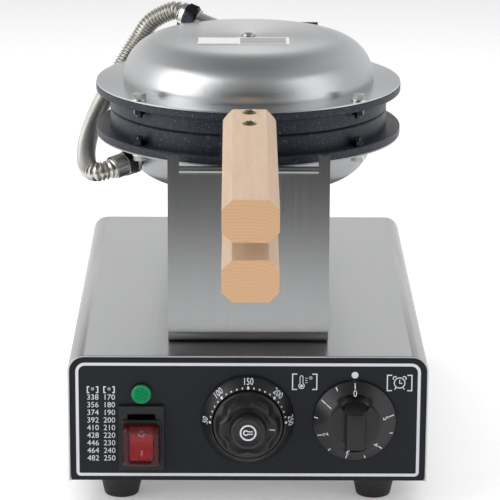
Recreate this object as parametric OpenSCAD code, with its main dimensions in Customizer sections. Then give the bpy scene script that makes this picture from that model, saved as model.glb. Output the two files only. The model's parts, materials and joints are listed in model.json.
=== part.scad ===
// Rotating waffle cone maker: a steel control box carries a U-shaped stand, and the stand
// carries a round two-plate baking head that opens like a book and turns over end to side.
// Millimetres. +X right, +Y to the back, +Z up. The origin is the centre of the footprint,
// on the table.

/* [Control box] */
// Width of the box
base_w = 250; // [246:1:270]
// Depth of the box
base_d = 370; // [366:1:384]
// Height of the box without its feet
base_h = 92; // [90:1:100]
// Radius of the two long top edges
base_r = 11.5; // [6:0.5:14]
// Thickness of the wrapped steel sheet
sheet = 1.2; // [0.8:0.1:1.5]
// Height of the rubber feet
foot_h = 20; // [14:1:22]

/* [Baking head] */
// Height of the turning axis above the box
axis_h = 146; // [144:1:160]
// Radius of the flanges that the domes are bolted to
flange_r = 110; // [110:1:112]
// Radius of the cast plates between the flanges
plate_r = 100; // [99:0.5:100]
// Thickness of one plate with its flange
plate_t = 18.3; // [18:0.1:19]
// Height of one dome above its flange
dome_h = 31.7; // [30:0.1:34]
// Spacing of the ridges of the waffle pattern
ridge_pitch = 14; // [12:1:18]

/* [Handles] */
// Length of a wooden handle
handle_l = 189; // [150:1:200]
// Width of a handle
handle_w = 35.5; // [30:0.5:38]
// Thickness of a handle
handle_t = 27.5; // [24:0.5:28]
// Gap between the two handles
handle_gap = 11.4; // [11:0.1:12]
// How far the handles slope down towards their ends
handle_droop = 4; // [0:0.5:4.5]

/* [Stand] */
// Width of the stand
stand_w = 112; // [108:1:116]
// Thickness of the stand's sheet
stand_t = 2; // [1.5:0.1:2]
// Distance from the box's front face to the front leg
leg_inset = 27.5; // [26:0.5:30]

/* [Controls] */
// Distance of the lamp, switch and timer from the middle of the panel
control_x = 74; // [72:0.5:76]
// Radius of the thermostat's knob
thermostat_r = 24.3; // [22:0.1:25]
// Radius of the timer's skirt
timer_r = 29; // [26:0.5:29]

/* [Hidden] */

$fn = 72;
gap = 0.4;                                  // clearance around sheet parts
touch = 0.05;                               // gap between faces that rest on each other
run = 0.05;                                 // radial clearance of a running fit
base_top = foot_h + base_h;
front_y = -base_d / 2;
leg_y = base_d / 2 - leg_inset;             // outer face of either leg of the stand
axis_z = base_top + axis_h;
head_gap = 1.5;                             // between the front leg and the flanges
head_y = -leg_y + stand_t + head_gap + flange_r;

steel = [0.76, 0.77, 0.78];
zinc = [0.80, 0.81, 0.82];
iron = [0.24, 0.26, 0.30];
black = [0.10, 0.11, 0.12];
beech = [0.87, 0.70, 0.52];
brass = [0.72, 0.60, 0.36];

// ---- Baking head, in its own frame: origin on the turning axis at the plates' centre ----
seam = 0.2;                                 // half of the gap between the closed plates
flange_t = 5.5;
flange_z = plate_t - flange_t;
dome_t = 1;
dome_foot_r = 90.5;
dome_arc_r = 30;
dome_top = plate_t + dome_t + dome_h;
dome_arc_z = dome_top - dome_arc_r;
dome_flat_r = dome_foot_r - dome_arc_r;
cavity_r = 88;
cavity_depth = 2.5;
ridge_w = 2.4;
ridge_h = 1.8;
pocket_r = 86;
web_z = 8;                                  // back of the cast web that the element lies on
bolt_ring_r = 104.6;
bolt_angles = [47, 133, 227, 313];
hinge_y = flange_r + 11;
hinge_pin_r = 4;
hinge_barrel_r = 8;
arm_in = 22;                                // the lower plate's hinge arms, from x to x
arm_out = 34;
arm_end = hinge_y + 25;
element_r = 55;
element_tube_r = 3.5;
element_z = web_z + element_tube_r + 0.1;
insulation_z = element_z + element_tube_r + 0.1;
insulation_t = 9;
tang_w = 24;
tang_t = 5;
tang_z = 6;
tang_root = flange_r - 21;
tang_bend = flange_r - 2;
handle_root = base_d / 2 + 6 + head_y;      // the wood starts in front of the box
handle_z = handle_gap / 2;
handle_edge = 6.5;
handle_screw_y = [handle_root + 7, handle_root + 32];

// Conduit fittings: where they leave the domes, which way they point, and how far out they seat
lower_exit = [-79, -40, -31];
lower_dir = [-0.81, -0.56, -0.174];
lower_seat = 2.4;
upper_exit = [-29.2, 72.3, 45.4];
upper_dir = [-0.9, 0.3, 0.316];
upper_seat = 8.5;
conduit_r = 7;

// ---- Rear bearing, along Y in the head's frame ----
leg_in = leg_y - stand_t - head_y;
leg_out = leg_y - head_y;
carrier_y = arm_end;
carrier_l = 12;
axle_r = 9;
bush_r = 12;
hub_r = 13.4;
axle_end = leg_out + 20;
stop_r = 24.5;
stop_pin_r = 3;
stop_arm_t = 7;
cap_r = 31;
cap_l = 25;
cap_top = 14;                               // above the axis, hidden behind the rear leg

// ---- Control panel ----
panel_t = 1.5;
panel_y = front_y + 0.8;                    // front face of the panel
panel_z = base_top - 46.5;                  // height of the knobs' centres
lamp_z = base_top - 27.5;
switch_z = base_top - 59.5;
switch_w = 31.5;
switch_h = 47;
rocker_z = base_top - 63;
boot_w = 28;
boot_h = 33;
foot_x = 89.5;
foot_y = base_d / 2 - 32;

module head() {
  translate([0, head_y, axis_z]) children();
}

// The lower half of the head is the upper half turned upside down
module lower_half() {
  head() mirror([0, 0, 1]) children();
}

// Children as drawn for side 1, upside down for side -1
module sided(side) {
  if (side > 0) children();
  else mirror([0, 0, 1]) children();
}

// Turns children from +Z to the direction v
module aim(v) {
  rotate([0, acos(v.z / norm(v)), atan2(v.y, v.x)]) children();
}

module round_rod(from, to, r) {
  translate(from) aim(to - from) cylinder(r = r, h = norm(to - from));
}

// A bent round tube or wire, with a ball thicker than the tube at each bend
module bent_rod(points, r) {
  for (i = [0 : len(points) - 2])
    round_rod(points[i], points[i + 1], r);
  for (i = [1 : len(points) - 2])
    translate(points[i]) aim(points[i + 1] - points[i]) sphere(r * 1.1 + 0.1);
}

// A rod along +Y from y
module rod_y(y, l, r) {
  translate([0, y, 0]) rotate([-90, 0, 0]) cylinder(r = r, h = l);
}

// A sheet outline with its two upper corners rounded; its lower edge is at z = 0
module arch_outline(w, h, r) {
  for (x = [-w / 2 + r, w / 2 - r])
    translate([x, h - r]) circle(r);
  translate([-w / 2, 0]) square([w, h - r]);
  translate([-w / 2 + r, 0]) square([w - 2 * r, h]);
}

// Raises an outline drawn as x, z into a slab from y to y + l
module slab_y(y, l) {
  translate([0, y + l, 0]) rotate([90, 0, 0]) linear_extrude(l) children();
}

// ================================ Control box ================================

module housing_shell() color(steel)
  difference() {
    translate([0, 0, foot_h]) slab_y(front_y, base_d) difference() {
      arch_outline(base_w, base_h, base_r);
      translate([0, -1]) arch_outline(base_w - 2 * sheet, base_h + 1 - sheet, base_r - sheet);
    }
    stand_holes(3.2);
    translate([0, feed_y, base_top - 5]) cylinder(r = 6, h = 10);
  }

module front_panel() color(black)
  difference() {
    translate([0, 0, foot_h + gap]) slab_y(panel_y, panel_t)
      arch_outline(base_w - 2 * sheet - 2 * gap, base_h - sheet - 2 * gap, base_r - sheet - gap);
    translate([-control_x, 0, lamp_z]) rod_y(panel_y - 5, 20, 5.6);
    translate([-control_x - 11, panel_y - 5, switch_z - 19]) cube([22, 20, 38]);
    translate([0, 0, panel_z]) rod_y(panel_y - 5, 20, 4);
    translate([control_x, 0, panel_z]) rod_y(panel_y - 5, 20, 4);
  }

floor_t = 1.5;
module base_plate() color(steel)
  difference() {
    translate([-base_w / 2 + sheet + gap, front_y + 4, foot_h])
      difference() {
        cube([base_w - 2 * sheet - 2 * gap, base_d - 8, 12]);
        translate([floor_t, -1, floor_t]) cube([base_w - 2 * sheet - 2 * gap - 2 * floor_t, base_d, 12]);
      }
    foot_places() translate([0, 0, foot_h - 1]) cylinder(r = 2.8, h = 4);
    for (i = [-5 : 5])
      translate([-30, i * 12 - 3, foot_h - 1]) cube([60, 5, 4]);
  }

back_t = 1.5;
vent_count = 7;
module back_panel() color(steel)
  difference() {
    translate([0, 0, foot_h + gap]) slab_y(-front_y - 0.8 - back_t, back_t)
      arch_outline(base_w - 2 * sheet - 2 * gap, base_h - sheet - 2 * gap, base_r - sheet - gap);
    for (x = [-55, 15], i = [0 : vent_count - 1])
      translate([x, -front_y - 5, foot_h + 22 + i * 8]) cube([40, 10, 3]);
    inlet_core(0.3, -10, 20);
  }

module foot_places() {
  for (x = [-foot_x, foot_x], y = [-foot_y, foot_y])
    translate([x, y, 0]) children();
}

foot_head_z = 8;
module feet() color(black) foot_places()
  difference() {
    cylinder(r1 = 12, r2 = 16.5, h = foot_h - 0.05);
    translate([0, 0, -1]) cylinder(r = 6.5, h = foot_head_z + 1);
    cylinder(r = 2.7, h = foot_h + 1);
  }

module foot_screws() color(zinc) foot_places() {
  translate([0, 0, foot_head_z - 3]) cylinder(r = 4.8, h = 2.95);
  translate([0, 0, foot_head_z - 1]) cylinder(r = 2.5, h = foot_h - foot_head_z + 9);
  translate([0, 0, foot_h + floor_t + 0.05]) cylinder(r = 4.6, h = 4, $fn = 6);
}

// ================================ Stand ================================

stand_bolt_x = 40;
stand_bolt_y = 125;
module stand_holes(r) {
  for (x = [-stand_bolt_x, stand_bolt_x], y = [-stand_bolt_y, stand_bolt_y])
    translate([x, y, base_top - 5]) cylinder(r = r, h = 12);
}

// One corner of the stand's bend, between its web and the leg on that side
bend_r = 9;
module bend(side) {
  translate([side * (leg_y - bend_r), bend_r]) intersection() {
    difference() {
      circle(bend_r);
      circle(bend_r - stand_t);
    }
    translate([side > 0 ? 0 : -bend_r, -bend_r]) square(bend_r);
  }
}

notch_w = 96;
lip_r = 2.8;
lip_z = -20.8;                              // centre of the rolled lip, below the axis
front_leg_h = 136;
rear_leg_h = 168;
module stand_bracket() color(steel)
  translate([0, 0, base_top + touch]) {
    difference() {
      translate([-stand_w / 2, 0, 0]) rotate([90, 0, 90]) linear_extrude(stand_w) {
        translate([-leg_y + bend_r, 0]) square([2 * leg_y - 2 * bend_r, stand_t]);
        bend(-1);
        bend(1);
        translate([-leg_y, bend_r]) square([stand_t, front_leg_h - bend_r]);
        translate([leg_y - stand_t, bend_r]) square([stand_t, rear_leg_h - bend_r]);
      }
      translate([-notch_w / 2, -leg_y - 1, axis_h + lip_z]) cube([notch_w, stand_t + 2, 60]);
      translate([0, leg_y - 5, axis_h - touch]) rotate([-90, 0, 0]) cylinder(r = hub_r + 0.1, h = 12);
      bearing_places(axis_h - touch) cylinder(r = 2.1, h = 12);
      stop_places(axis_h - touch) translate([0, 0, -3]) cylinder(r = stop_pin_r + 0.02, h = 12);
      for (x = [-stand_bolt_x, stand_bolt_x], y = [-stand_bolt_y, stand_bolt_y])
        translate([x, y, -2]) cylinder(r = 3.2, h = 8);
    }
    // The notch's lower edge is rolled, so that the tangs meet a round lip
    translate([-notch_w / 2, -leg_y + 0.3, axis_h + lip_z]) rotate([0, 90, 0])
      cylinder(r = lip_r, h = notch_w);
  }

module stand_bolts() color(zinc)
  for (x = [-stand_bolt_x, stand_bolt_x], y = [-stand_bolt_y, stand_bolt_y])
    translate([x, y, base_top + stand_t + 0.1]) {
      cylinder(r = 5.7, h = 4, $fn = 6);
      cylinder(r = 7, h = 0.9);
      translate([0, 0, -12]) cylinder(r = 2.95, h = 13);
      translate([0, 0, -stand_t - sheet - 5.3]) cylinder(r = 5.7, h = 5, $fn = 6);
    }

// Where the three bearing screws go through the rear leg, along +Y
bearing_ring_r = 17.6;
module bearing_places(z) {
  for (a = [30, 150, 270])
    translate([bearing_ring_r * cos(a), leg_y - stand_t - 6, z + bearing_ring_r * sin(a)])
      rotate([-90, 0, 0]) children();
}

module stop_places(z) {
  for (side = [-1, 1])
    translate([side * stop_r, leg_y - stand_t + touch, z + stop_arm_t / 2 + stop_pin_r + 0.3])
      rotate([-90, 0, 0]) children();
}

housing_t = 5;
module bearing_housing() color(zinc)
  difference() {
    head() {
      rod_y(leg_in - housing_t - touch, housing_t, 21.8);
      rod_y(leg_in - 1, stand_t + 1, hub_r);
    }
    head() rod_y(leg_in - 9, 30, bush_r + 0.02);
    bearing_places(axis_z) cylinder(r = 2.1, h = 12);
  }

module bearing_bush() color(brass)
  head() difference() {
    union() {
      rod_y(leg_in - 7, 11.5, bush_r);
      rod_y(leg_in - 7, 1.9, bush_r + 1.6);
    }
    rod_y(leg_in - 9, 30, axle_r + run);
  }

module bearing_screws() color(zinc)
  bearing_places(axis_z) {
    translate([0, 0, -1.2]) cylinder(r = 3.6, h = 2.1);
    cylinder(r = 2, h = 9);
    translate([0, 0, 8.1]) cylinder(r = 3.9, h = 2.6, $fn = 6);
  }

module stop_pins() color(zinc)
  stop_places(axis_z) {
    cylinder(r = stop_pin_r, h = 15);
    translate([0, 0, stand_t + touch]) cylinder(r = stop_pin_r + 1.2, h = 0.8);
  }

// Round cover over the stop, cut off flat just above the axle
cap_t = 1.2;
module cap_body(y, l, t) {
  intersection() {
    rod_y(y, l, cap_r - t);
    translate([-cap_r, y, -cap_r]) cube([2 * cap_r, l, cap_r + cap_top - t]);
  }
}

module rear_cap() color(steel)
  head() difference() {
    cap_body(leg_out + 0.1, cap_l, 0);
    cap_body(leg_out - 1, cap_l - 0.1, cap_t);
    translate([0, leg_out + feed_out, -cap_r - 5]) cylinder(r = 6, h = 12);
  }

feed_out = 13;                              // from the rear leg to the feed conduit
feed_y = leg_y + feed_out;
feed_top = axis_z - cap_r;
feed_bow = 2;
module feed_conduit() color(steel)
  bent_rod([[0, feed_y, feed_top - 13], [0, feed_y + feed_bow, (feed_top + base_top) / 2],
            [0, feed_y, base_top + 13]], conduit_r - 1);

// A gland at each end of the feed conduit: a hex nut against the metal and a ferrule
module feed_fittings() color(zinc)
  for (end = [[base_top, 1], [feed_top, -1]])
    translate([0, feed_y, end[0] + 0.1 * end[1]]) sided(end[1]) difference() {
      union() {
        cylinder(r = 10.5, h = 6, $fn = 6);
        translate([0, 0, 5]) cylinder(r = conduit_r + 1.3, h = 12);
        translate([0, 0, -2]) cylinder(r = 5.8, h = 3);   // stays clear of the stop arm
      }
      translate([0, 0, -5]) cylinder(r = 4.5, h = 30);
      translate([0, 0, 11]) cylinder(r = conduit_r - 0.8, h = 30);
    }

// ================================ Controls ================================

module switch_bezel() color(black)
  difference() {
    translate([-control_x, 0, switch_z]) difference() {
      union() {
        translate([-switch_w / 2, panel_y - 3 - touch, -switch_h / 2]) cube([switch_w, 3, switch_h]);
        translate([-10.8, panel_y - 1, -18.8]) cube([21.6, 6, 37.6]);
      }
      translate([-9.6, panel_y - 10, -17.5]) cube([19.2, 30, 35]);
    }
    rocker_axis() cylinder(r = trunnion_r + run, h = 40, center = true);
  }

module switch_body() color(black)
  translate([-control_x, panel_y + panel_t + 4, switch_z]) difference() {
    translate([-12, 0, -20.5]) cube([24, 26, 41]);
    translate([-9.5, -1, -17]) cube([19, 15, 34]);
  }

// Clear rubber boot over the rocker: a hollow box that stands on the bezel
module switch_boot() color([0.75, 0.2, 0.2, 0.4])
  translate([-control_x, panel_y - 3 - 2 * touch - 11, rocker_z]) difference() {
    translate([-boot_w / 2, 0, -boot_h / 2]) cube([boot_w, 11, boot_h]);
    translate([-boot_w / 2 + 1.2, 1.2, -boot_h / 2 + 1.2]) cube([boot_w - 2.4, 12, boot_h - 2.4]);
  }

// The rocker turns on two trunnions in the bezel. At rest its upper end, "off", is pushed in
rocker_pivot_y = panel_y + 3;
rocker_tilt = 8;
trunnion_r = 1.5;
module rocker_axis() {
  translate([-control_x, rocker_pivot_y, rocker_z]) rotate([0, 90, 0]) children();
}
module power_rocker() color([0.75, 0.08, 0.08]) {
  translate([-control_x, rocker_pivot_y, rocker_z]) rotate([-rocker_tilt, 0, 0]) difference() {
    translate([-8.5, -11, -12]) cube([17, 18, 24]);
    translate([-10, -17, 0]) rotate([0, 90, 0]) cylinder(r = 9.5, h = 20);
  }
  rocker_axis() cylinder(r = trunnion_r, h = 21, center = true);
}

module pilot_bezel() color(black)
  translate([-control_x, 0, lamp_z]) difference() {
    union() {
      rod_y(panel_y - 1.85, 1.8, 7.3);
      rod_y(panel_y - 1, 22, 5.4);
      translate([0, panel_y + panel_t + 0.1, 0]) rotate([-90, 0, 0]) cylinder(r = 8, h = 3, $fn = 6);
    }
    rod_y(panel_y - 5, 20, 4.6);
  }

module pilot_lens() color([0.1, 0.75, 0.45])
  translate([-control_x, 0, lamp_z]) {
    rod_y(panel_y - 4, 14, 4.5);
    rod_y(panel_y - 4, 2, 6.2);
  }

shaft_r = 3;
module thermostat_body() color(zinc)
  translate([0, 0, panel_z]) difference() {
    union() {
      translate([-18, panel_y + panel_t + 2, -15]) cube([36, 24, 30]);
      rod_y(panel_y + 0.05, 8, 3.9);
    }
    rod_y(panel_y - 5, 24, shaft_r + run);
  }

dial_r = 32.3;
dial_h = 12;
module dial_ring() color(black)
  translate([0, panel_y - 0.05, panel_z]) rotate([90, 0, 0]) difference() {
    cylinder(r1 = dial_r, r2 = thermostat_r + 0.8, h = dial_h);
    translate([0, 0, -1]) cylinder(r = thermostat_r + 0.4, h = dial_h + 2);
  }

knob_proud = 29;
knob_hub_r = 12;
module thermostat_knob() color(black)
  translate([0, panel_y - 1, panel_z]) rotate([90, 0, 0]) difference() {
    union() {
      cylinder(r = thermostat_r, h = dial_h + 2);
      cylinder(r1 = thermostat_r - 1, r2 = thermostat_r - 4, h = dial_h + 9);
      cylinder(r = knob_hub_r, h = knob_proud - 1);
      for (a = [0 : 60 : 300])
        rotate(a) translate([thermostat_r - 9, 0, 0]) cylinder(r = 6, h = dial_h + 11);
    }
    translate([0, 0, -1]) cylinder(r = shaft_r, h = 18);
  }

module thermostat_shaft() color(zinc)
  translate([0, 0, panel_z]) rod_y(panel_y - 16, 32, shaft_r - 0.02);

module capillary_tube() color(brass)
  bent_rod([[8, panel_y + panel_t + 26.2, panel_z], [14, -60, panel_z + 12],
            [2, feed_y - 6, base_top - 14], [0, feed_y, base_top - 6]], 1.5);

skirt_h = 7;
timer_grip_w = 14;
timer_proud = 26;
module timer_knob() color(black)
  translate([control_x, panel_y - 1, panel_z]) rotate([90, 0, 0]) difference() {
    union() {
      cylinder(r1 = timer_r, r2 = timer_r - 4, h = skirt_h);
      intersection() {
        translate([-timer_grip_w / 2, -timer_r, 0]) cube([timer_grip_w, 2 * timer_r, timer_proud]);
        cylinder(r1 = timer_r - 6, r2 = timer_r - 9, h = timer_proud);
      }
    }
    translate([0, 0, -1]) cylinder(r = shaft_r, h = 16);
  }

module timer_shaft() color(zinc)
  translate([control_x, 0, panel_z]) rod_y(panel_y - 14, 30, shaft_r - 0.02);

module timer_body() color(zinc)
  translate([control_x, 0, panel_z]) difference() {
    union() {
      rod_y(panel_y + panel_t + 2, 30, 22);
      rod_y(panel_y + 0.05, 8, 3.9);
    }
    rod_y(panel_y - 5, 24, shaft_r + run);
  }

module terminal_block() color([0.9, 0.9, 0.86])
  translate([-30, 60, foot_h + floor_t + 0.1]) difference() {
    cube([60, 22, 18]);
    for (i = [0 : 4])
      translate([6 + i * 12, 11, 8]) cylinder(r = 3, h = 20);
  }

module wiring() color([0.75, 0.2, 0.15]) {
  block_z = foot_h + 14;
  block_y = 59.5;
  bent_rod([[-control_x, panel_y + 33.5, switch_z], [-control_x, -110, block_z],
            [-24, block_y - 30, block_z], [-24, block_y, block_z]], 1.5);
  bent_rod([[-14, panel_y + 29, panel_z - 8], [-12, -110, block_z + 8],
            [-12, block_y - 30, block_z], [-12, block_y, block_z]], 1.5);
  bent_rod([[control_x, panel_y + 35.5, panel_z], [control_x, -110, block_z],
            [12, block_y - 30, block_z], [12, block_y, block_z]], 1.5);
  bent_rod([[inlet_x, -front_y - 31, inlet_z], [inlet_x, 120, block_z], [-12, 112, block_z],
            [-12, block_y + 23, block_z]], 2.5);
}

// Three-pin appliance inlet in the back panel, held by a flange outside and its latches inside
inlet_x = -85;
inlet_z = foot_h + 26;
inlet_w = 27;
inlet_h = 20;
module inlet_core(grow, from, l) {
  translate([inlet_x - inlet_w / 2 - grow, -front_y + from, inlet_z - inlet_h / 2 - grow])
    cube([inlet_w + 2 * grow, l, inlet_h + 2 * grow]);
}
module power_inlet() color(black) {
  difference() {
    union() {
      inlet_core(0, -24, 24);
      inlet_core(4, -0.75, 2.2);
    }
    inlet_core(-2, -16, 30);
  }
  for (x = [-7, 0, 7])
    translate([inlet_x + x - 1, -front_y - 30, inlet_z + (x == 0 ? 1 : -3)]) cube([2, 12.9 + 15, 4]);
}

// ================================ Baking head ================================

module flange_places(r) {
  for (a = bolt_angles)
    rotate(a + 90) translate([r, 0, 0]) children();
}

// The casting that both plates share: its face is at z = seam, its back faces the dome
module plate_casting() {
  difference() {
    union() {
      rotate_extrude() polygon([
        [0, seam + cavity_depth], [cavity_r, seam + cavity_depth], [cavity_r + 1.5, seam],
        [plate_r - 0.8, seam], [plate_r, seam + 0.8], [plate_r, flange_z], [flange_r - 0.6, flange_z],
        [flange_r, flange_z + 0.6], [flange_r, plate_t - 0.6], [flange_r - 0.6, plate_t],
        [pocket_r, plate_t], [pocket_r, web_z], [0, web_z]]);
      translate([-20, -flange_r + 1, seam]) cube([40, 12, flange_z]);
    }
    flange_places(bolt_ring_r) translate([0, 0, flange_z - 5]) cylinder(r = 2.75, h = 20);
    translate([-tang_w / 2 - 0.1, -flange_r, tang_z - 0.1])
      cube([tang_w + 0.2, flange_r - tang_root + 0.2, tang_t + 0.2]);
  }
  ridges();
}

// Crossed ridges that press the diamond pattern into the wafer
module ridges() {
  n = floor(cavity_r / ridge_pitch);
  translate([0, 0, seam + cavity_depth - ridge_h]) intersection() {
    cylinder(r = cavity_r + 0.4, h = ridge_h + 1);
    for (turn = [-60, 60], i = [-n : n])
      rotate(turn) translate([-flange_r, i * ridge_pitch - ridge_w / 2, 0])
        cube([2 * flange_r, ridge_w, ridge_h + 1]);
  }
}

module hinge_bore(r) {
  translate([-60, hinge_y, 0]) rotate([0, 90, 0]) cylinder(r = r, h = 120);
}

// Two arms carry the hinge pin and run on to the axle carrier
module lower_plate() color(iron) lower_half()
  difference() {
    union() {
      plate_casting();
      for (x = [-arm_out, arm_in]) {
        translate([x, plate_r - 8, seam]) cube([arm_out - arm_in, hinge_y - plate_r + 8, flange_z - seam]);
        translate([x, hinge_y, 0]) rotate([0, 90, 0]) cylinder(r = hinge_barrel_r, h = arm_out - arm_in);
        translate([x, hinge_y - 2, -4.5]) cube([arm_out - arm_in, arm_end - hinge_y + 2, flange_z + 4.5]);
      }
    }
    hinge_bore(hinge_pin_r + 0.02);
    for (x = [-carrier_screw_x, carrier_screw_x])
      translate([x, 0, -carrier_screw_z]) rod_y(carrier_y - 13, 40, 3.05);
  }

lid_arm_in = 8;
lid_arm_out = arm_in - 0.5;
module upper_plate() color(iron) head()
  difference() {
    union() {
      plate_casting();
      for (x = [-lid_arm_out, lid_arm_in]) {
        translate([x, plate_r - 8, seam])
          cube([lid_arm_out - lid_arm_in, hinge_y - plate_r + 3, flange_z - seam]);
        translate([x, hinge_y, 0]) rotate([0, 90, 0])
          cylinder(r = hinge_barrel_r, h = lid_arm_out - lid_arm_in);
      }
    }
    hinge_bore(hinge_pin_r + run);
  }

// Solid outline of a dome, shrunk by t on the outside
module dome_outline(t) {
  translate([dome_flat_r, dome_arc_z]) circle(dome_arc_r - t);
  square([dome_flat_r, dome_top - t]);
  square([dome_foot_r - t, dome_arc_z]);
}

module dome_shell(exit, direction) {
  difference() {
    rotate_extrude() difference() {
      union() {
        dome_outline(0);
        translate([0, plate_t + 0.05]) square([flange_r - 0.3, dome_t]);
      }
      dome_outline(dome_t);
      translate([-1, -20]) square([flange_r * 2, plate_t + 20.05]);
    }
    translate([0, 0, dome_top - 5]) cylinder(r = 2.7, h = 10);
    flange_places(bolt_ring_r) cylinder(r = 2.75, h = 40);
    round_rod(exit - 10 * direction, exit + 12 * direction, 6);
  }
}

function flip(v) = [v.x, v.y, -v.z];
module upper_dome() color(steel) head() dome_shell(upper_exit, upper_dir);
module lower_dome() color(steel) lower_half() difference() {
  dome_shell(flip(lower_exit), flip(lower_dir));
  round_rod(flip(sleeve_path[3]), flip(sleeve_path[5]), sleeve_r + 0.3);
}

// Tubular heating element: an open ring with its two cold ends turned up
module element() {
  open_angle = 24;
  translate([0, 0, element_z]) {
    rotate(90 + open_angle / 2) rotate_extrude(angle = 360 - open_angle)
      translate([element_r, 0]) circle(element_tube_r);
    for (a = [90 - open_angle / 2, 90 + open_angle / 2])
      rotate(a) translate([element_r, 0, 0]) {
        sphere(element_tube_r);
        cylinder(r = element_tube_r, h = 22);
      }
  }
}
module upper_element() color(zinc) head() element();
module lower_element() color(zinc) lower_half() element();

module element_slots(h) {
  for (a = [-12, 12])
    rotate(90 + a) translate([element_r, 0, 0]) cylinder(r = element_tube_r + 0.5, h = h);
}

// Ceramic-fibre disc that keeps the heat in the plate
module insulation() {
  translate([0, 0, insulation_z]) difference() {
    cylinder(r = pocket_r - 3, h = insulation_t);
    translate([0, 0, -1]) element_slots(20);
    translate([0, 0, -1]) cylinder(r = 4, h = 20);
  }
}
module lower_insulation() color([0.93, 0.92, 0.88]) lower_half() insulation();
module upper_insulation() color([0.93, 0.92, 0.88]) head() insulation();

// Pan-head screw that holds a dome down onto the cast web
module dome_screw() {
  translate([0, 0, dome_top + 0.05]) intersection() {
    cylinder(r = 5, h = 3);
    translate([0, 0, -7]) sphere(9.8);
  }
  translate([0, 0, web_z + 0.05]) cylinder(r = 2.5, h = dome_top - web_z + 1);
}
module upper_dome_screw() color(zinc) head() dome_screw();
module lower_dome_screw() color(zinc) lower_half() dome_screw();

// Hex bolt, washer and nut through a dome's flange and the plate's flange
module flange_bolts() {
  flange_places(bolt_ring_r) {
    translate([0, 0, plate_t + dome_t + 0.1]) {
      cylinder(r = 5.3, h = 1);
      translate([0, 0, 0.9]) cylinder(r = 4.9, h = 3.6, $fn = 6);
    }
    translate([0, 0, flange_z - 6]) cylinder(r = 2.5, h = plate_t - flange_z + 8);
    translate([0, 0, flange_z - 3.6]) cylinder(r = 4.3, h = 3.5, $fn = 6);
  }
}
module upper_flange_bolts() color(zinc) head() flange_bolts();
module lower_flange_bolts() color(zinc) lower_half() flange_bolts();

// Everything in front of the head slopes down from the bend of the tangs
module droop(side) {
  head() translate([0, -tang_bend, 0]) rotate([handle_droop, 0, 0])
    translate([0, tang_bend, 0]) sided(side) children();
}

tang_end = handle_root + 48;
module tang(side) {
  difference() {
    union() {
      head() sided(side) translate([-tang_w / 2, -tang_bend - 1, tang_z])
        cube([tang_w, tang_bend - tang_root + 1, tang_t]);
      droop(side) translate([-tang_w / 2, -tang_end, tang_z])
        cube([tang_w, tang_end - tang_bend, tang_t]);
    }
    droop(side) for (y = handle_screw_y)
      translate([0, -y, 0]) cylinder(r = 2.22, h = 40);
  }
}
module upper_tang() color(steel) tang(1);
module lower_tang() color(steel) tang(-1);

module handle_wood(side) {
  w = handle_w / 2;
  t = handle_t;
  e = handle_edge;
  root_r = 5;
  droop(side) difference() {
    intersection() {
      translate([0, -handle_root, handle_z]) rotate([90, 0, 0]) linear_extrude(handle_l)
        polygon([[-w, e], [-w + e, 0], [w - e, 0], [w, e], [w, t - e], [w - e, t], [-w + e, t], [-w, t - e]]);
      linear_extrude(60) {
        translate([-w, -handle_root - handle_l]) square([2 * w, handle_l - root_r]);
        translate([-w + root_r, -handle_root - root_r - 1]) square([2 * w - 2 * root_r, root_r + 1]);
        for (x = [-w + root_r, w - root_r])
          translate([x, -handle_root - root_r]) circle(root_r);
      }
    }
    translate([-tang_w / 2 - 0.15, -tang_end - 0.3, -1]) cube([tang_w + 0.3, 60, tang_z + tang_t + 1.15]);
    for (y = handle_screw_y) translate([0, -y, 0]) {
      cylinder(r = 2.4, h = 60);
      translate([0, 0, handle_z + t - 2.8]) cylinder(r1 = 2.4, r2 = 5, h = 2.81);
    }
  }
}
module upper_handle() color(beech) handle_wood(1);
module lower_handle() color(beech) handle_wood(-1);

// Raised countersunk screws from the outside of the wood into the tang
module handle_screws(side) {
  droop(side) for (y = handle_screw_y) translate([0, -y, 0]) {
    translate([0, 0, tang_z + 0.2]) cylinder(r = 2.2, h = handle_t - 2.5);
    translate([0, 0, handle_z + handle_t - 2.4]) cylinder(r1 = 2.2, r2 = 4.5, h = 2.3);
    translate([0, 0, handle_z + handle_t - 0.1]) intersection() {
      cylinder(r = 4.5, h = 2);
      translate([0, 0, -7.2]) sphere(8.5);
    }
  }
}
module upper_handle_screws() color(brass) handle_screws(1);
module lower_handle_screws() color(brass) handle_screws(-1);

// ---- Hinge, axle and stop ----

module hinge_pin() color(zinc) head() {
  translate([-arm_out - 3, hinge_y, 0]) rotate([0, 90, 0]) cylinder(r = hinge_pin_r, h = 2 * arm_out + 6);
  for (x = [-arm_out - 3, arm_out + 0.2])
    translate([x, hinge_y, 0]) rotate([0, 90, 0]) cylinder(r = hinge_pin_r + 2, h = 2.8);
}

// Block that joins the hinge arms to the axle
carrier_screw_x = (arm_in + arm_out) / 2;
carrier_screw_z = -4;
module axle_carrier() color(steel) head()
  difference() {
    translate([-arm_out, carrier_y + touch, -12.8]) cube([2 * arm_out, carrier_l, 24.8]);
    rod_y(carrier_y - 5, 40, bore_r);
    rod_y(carrier_y + 5, 40, axle_r + 0.01);
    for (x = [-carrier_screw_x, carrier_screw_x])
      translate([x, 0, carrier_screw_z]) rod_y(carrier_y - 1, 40, 3.2);
  }

module carrier_screws() color(zinc) head()
  for (x = [-carrier_screw_x, carrier_screw_x])
    translate([x, 0, carrier_screw_z]) {
      rod_y(carrier_y + carrier_l + 2 * touch, 5, 5);
      rod_y(carrier_y - 12, carrier_l + 14, 3);
    }

// Hollow axle: the heater leads run through it
bore_r = 5.5;
module rotor_axle() color(zinc) head() difference() {
  rod_y(carrier_y + 5.1, axle_end - carrier_y - 5.1, axle_r);
  rod_y(carrier_y, 200, bore_r);
}

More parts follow.
